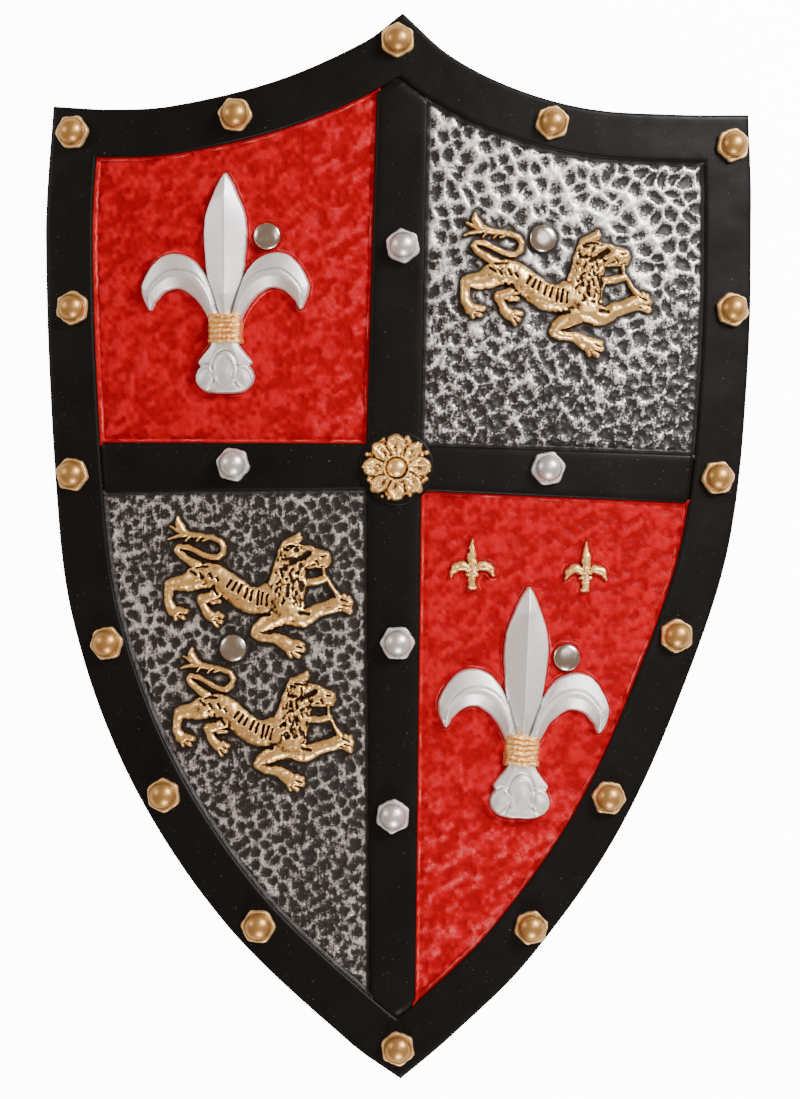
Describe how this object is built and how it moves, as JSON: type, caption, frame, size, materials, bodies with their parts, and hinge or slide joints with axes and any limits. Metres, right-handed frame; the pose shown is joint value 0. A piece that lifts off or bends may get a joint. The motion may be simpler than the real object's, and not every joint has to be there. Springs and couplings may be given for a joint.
{
  "type": "toy heater shield",
  "caption": "Moulded foam heater shield with quartered relief of lions and fleurs-de-lis, domed nuts on a raised border, and two grip straps on its back.",
  "frame": {"origin": "on the ground below the middle of the bounding box, with the shield lying on its back", "axes": "+Z out of the decorated face, +Y towards the shield's top edge, +X to the right as its face is seen with the top edge up"},
  "size_m": [0.3234, 0.4804, 0.0387],
  "materials": {
    "black_paint": "satin black paint on moulded foam",
    "red_paint": "satin red paint on moulded foam, mottled darker in the hollows",
    "silver_paint": "silver dry-brushed over black on moulded foam",
    "gold_paint": "gold paint with a dark wash on moulded foam",
    "nickel": "smooth nickel plate",
    "webbing": "woven black webbing"
  },
  "bodies": {
    "root": {"shield_body": "black_paint", "rivet_upper_left": "nickel", "rivet_upper_right": "nickel", "rivet_lower_left": "nickel", "rivet_lower_right": "nickel", "hand_strap": "webbing", "arm_strap": "webbing"}
  },
  "joints": []
}
